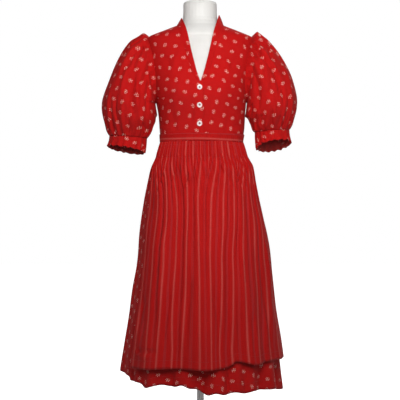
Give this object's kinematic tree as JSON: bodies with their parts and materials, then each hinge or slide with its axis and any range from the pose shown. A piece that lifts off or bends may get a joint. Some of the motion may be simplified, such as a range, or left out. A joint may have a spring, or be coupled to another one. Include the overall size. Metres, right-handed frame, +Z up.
{
  "type": "dirndl dress with apron on a dress form",
  "caption": "Gathered folk dress with V neck, stand neckband and puff sleeves, worn with a pleated striped apron on a headless dress form with pole and round base.",
  "frame": {"origin": "middle of the underside of the stand's round base", "axes": "+Z up along the pole, -Y out of the front of the dress, +X to the wearer's left"},
  "size_m": [0.6362, 0.5053, 1.472],
  "materials": {
    "floral_cotton": "plain-weave red cotton with a small pale sprig print, matte",
    "striped_cotton": "red cotton with woven wine and pale pink stripes, matte",
    "pearl_button": "pearly, polished",
    "form_white": "smooth satin white",
    "stand_white": "white paint"
  },
  "bodies": {
    "root": {"bodice_front_right": "floral_cotton", "bodice_front_left": "floral_cotton", "bodice_back": "floral_cotton", "neckband_right": "floral_cotton", "neckband_left": "floral_cotton", "sleeve_right": "floral_cotton", "sleeve_left": "floral_cotton", "cuff_right": "floral_cotton", "cuff_left": "floral_cotton", "skirt": "floral_cotton", "apron_waistband": "striped_cotton", "apron_smocking": "striped_cotton", "apron_skirt": "striped_cotton", "apron_tie_right": "striped_cotton", "apron_tie_left": "striped_cotton", "bow_loop_right": "striped_cotton", "bow_loop_left": "striped_cotton", "bow_tail_right": "striped_cotton", "bow_tail_left": "striped_cotton", "bow_knot": "striped_cotton", "button_1": "pearl_button", "button_2": "pearl_button", "button_3": "pearl_button", "form_torso": "form_white", "form_neck_cap": "form_white", "form_pole": "stand_white", "form_base": "stand_white"}
  },
  "joints": []
}
